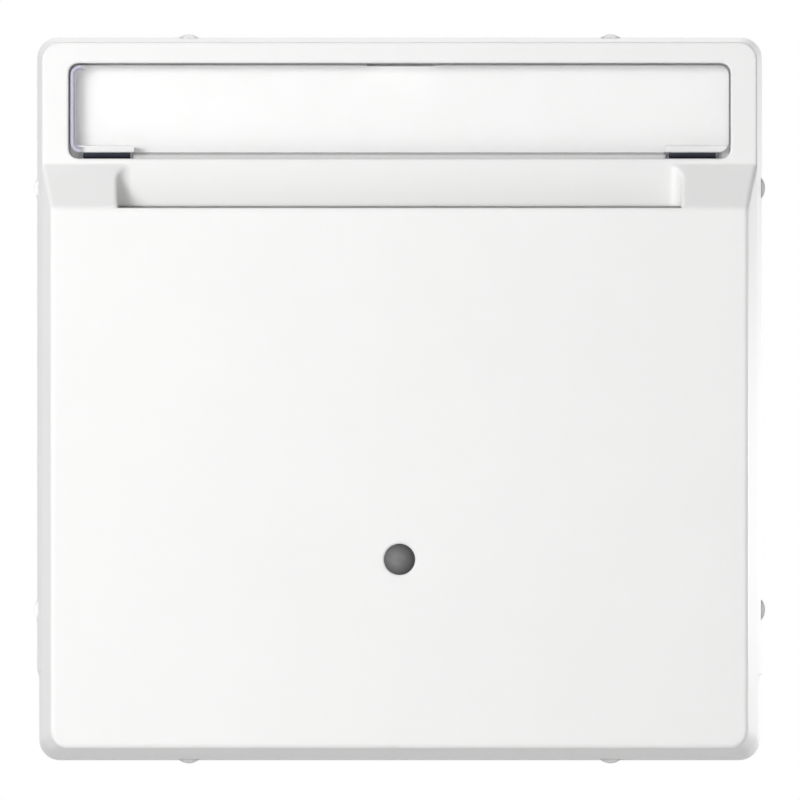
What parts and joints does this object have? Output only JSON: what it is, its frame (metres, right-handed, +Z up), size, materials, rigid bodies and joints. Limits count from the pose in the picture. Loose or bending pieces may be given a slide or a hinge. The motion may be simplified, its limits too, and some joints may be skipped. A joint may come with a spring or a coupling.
{
  "type": "hotel key card switch",
  "caption": "Square flush switch with a raised card pocket, a slot and recess above it, a clear-lidded label window, a smoked indicator and an insert behind it.",
  "frame": {"origin": "centre of the 60 mm box-screw pattern, in the wall plane, which is the rear face of the support ring", "axes": "+X to the right and +Z up as the switch is seen from the room, +Y into the wall; the front faces -Y"},
  "size_m": [0.0718, 0.0366, 0.0716],
  "materials": {
    "cover_plastic": "fine semi-gloss white moulding",
    "clear_plastic": "clear polycarbonate",
    "label_paper": "bare white label card",
    "smoked_plastic": "smoked translucent plastic",
    "guide_plastic": "satin white moulding",
    "lever_plastic": "satin acetal",
    "button_plastic": "satin white moulding",
    "housing_plastic": "grey moulded thermoset",
    "release_plastic": "orange moulding",
    "zinc_steel": "zinc-plated steel",
    "spring_steel": "bright spring wire and strip",
    "contact_brass": "bare brass strip",
    "board_laminate": "green circuit laminate",
    "lamp_resin": "clear resin"
  },
  "bodies": {
    "switch_body": {"front_cover": "cover_plastic", "label_insert": "label_paper", "indicator_lens": "smoked_plastic", "light_pipe": "clear_plastic", "card_guide": "guide_plastic", "guide_screws": "zinc_steel", "lever_pin": "zinc_steel", "lever_spring": "spring_steel", "support_ring": "zinc_steel", "ring_screws": "zinc_steel", "housing_lid": "housing_plastic", "housing_base": "housing_plastic", "button_spring": "spring_steel", "contact_spring": "spring_steel", "common_terminal": "contact_brass", "rest_terminal": "contact_brass", "switched_terminal": "contact_brass", "neutral_terminal": "contact_brass", "clamp_springs_left": "spring_steel", "clamp_springs_right": "spring_steel", "lamp_board": "board_laminate", "lamp": "lamp_resin"},
    "window": {"label_window": "clear_plastic"},
    "lever": {"card_lever": "lever_plastic"},
    "button": {"push_button": "button_plastic"},
    "contact": {"contact_arm": "contact_brass"},
    "release_left": {"release_slide_left": "release_plastic"},
    "release_right": {"release_slide_right": "release_plastic"},
    "claw_l": {"claw_left": "zinc_steel"},
    "claw_r": {"claw_right": "zinc_steel"},
    "screw_l": {"claw_screw_left": "zinc_steel"},
    "screw_r": {"claw_screw_right": "zinc_steel"}
  },
  "joints": [
    {"name": "window_tilt", "type": "hinge", "parent": "switch_body", "child": "window", "pos_m": [0, -0.0056, 0.02321], "axis": [1, 0, 0], "range_deg": [0, 8]},
    {"name": "card_lever_turn", "type": "hinge", "parent": "switch_body", "child": "lever", "pos_m": [0, -0.0038, 0.009], "axis": [1, 0, 0], "range_deg": [0, 11], "deforming": ["lever_spring"]},
    {"name": "push_button_slide", "type": "slide", "parent": "switch_body", "child": "button", "axis": [0, 1, 0], "range_m": [0, 0.00168], "stiffness_N_per_m": 20, "springref_m": -0.001, "deforming": ["button_spring"]},
    {"name": "contact_arm_turn", "type": "hinge", "parent": "switch_body", "child": "contact", "pos_m": [0, 0.0127, -0.009], "axis": [-1, 0, 0], "range_deg": [0, 11], "deforming": ["contact_spring"]},
    {"name": "release_left_slide", "type": "slide", "parent": "switch_body", "child": "release_left", "axis": [0, -1, 0], "range_m": [0, 0.0012], "stiffness_N_per_m": 20, "springref_m": -0.0005, "deforming": ["clamp_springs_left"]},
    {"name": "release_right_slide", "type": "slide", "parent": "switch_body", "child": "release_right", "axis": [0, -1, 0], "range_m": [0, 0.0012], "stiffness_N_per_m": 20, "springref_m": -0.0005, "deforming": ["clamp_springs_right"]},
    {"name": "claw_screw_left_turn", "type": "hinge", "parent": "switch_body", "child": "screw_l", "pos_m": [-0.0242, 0, 0], "axis": [0, 1, 0], "range_deg": [0, 720]},
    {"name": "claw_screw_right_turn", "type": "hinge", "parent": "switch_body", "child": "screw_r", "pos_m": [0.0242, 0, 0], "axis": [0, 1, 0], "range_deg": [0, 720]},
    {"name": "claw_left_swing", "type": "hinge", "parent": "switch_body", "child": "claw_l", "pos_m": [-0.0212, 0.003, 0], "axis": [0, 0, 1], "range_deg": [0, 15]},
    {"name": "claw_right_swing", "type": "hinge", "parent": "switch_body", "child": "claw_r", "pos_m": [0.0212, 0.003, 0], "axis": [0, 0, -1], "range_deg": [0, 15]}
  ],
  "couplings": [
    {"joint": "card_lever_turn", "follows": "push_button_slide", "rad_per_m": 111.11},
    {"joint": "contact_arm_turn", "follows": "push_button_slide", "rad_per_m": 111.11},
    {"joint": "claw_left_swing", "follows": "claw_screw_left_turn", "ratio": 0.020833},
    {"joint": "claw_right_swing", "follows": "claw_screw_right_turn", "ratio": 0.020833}
  ]
}
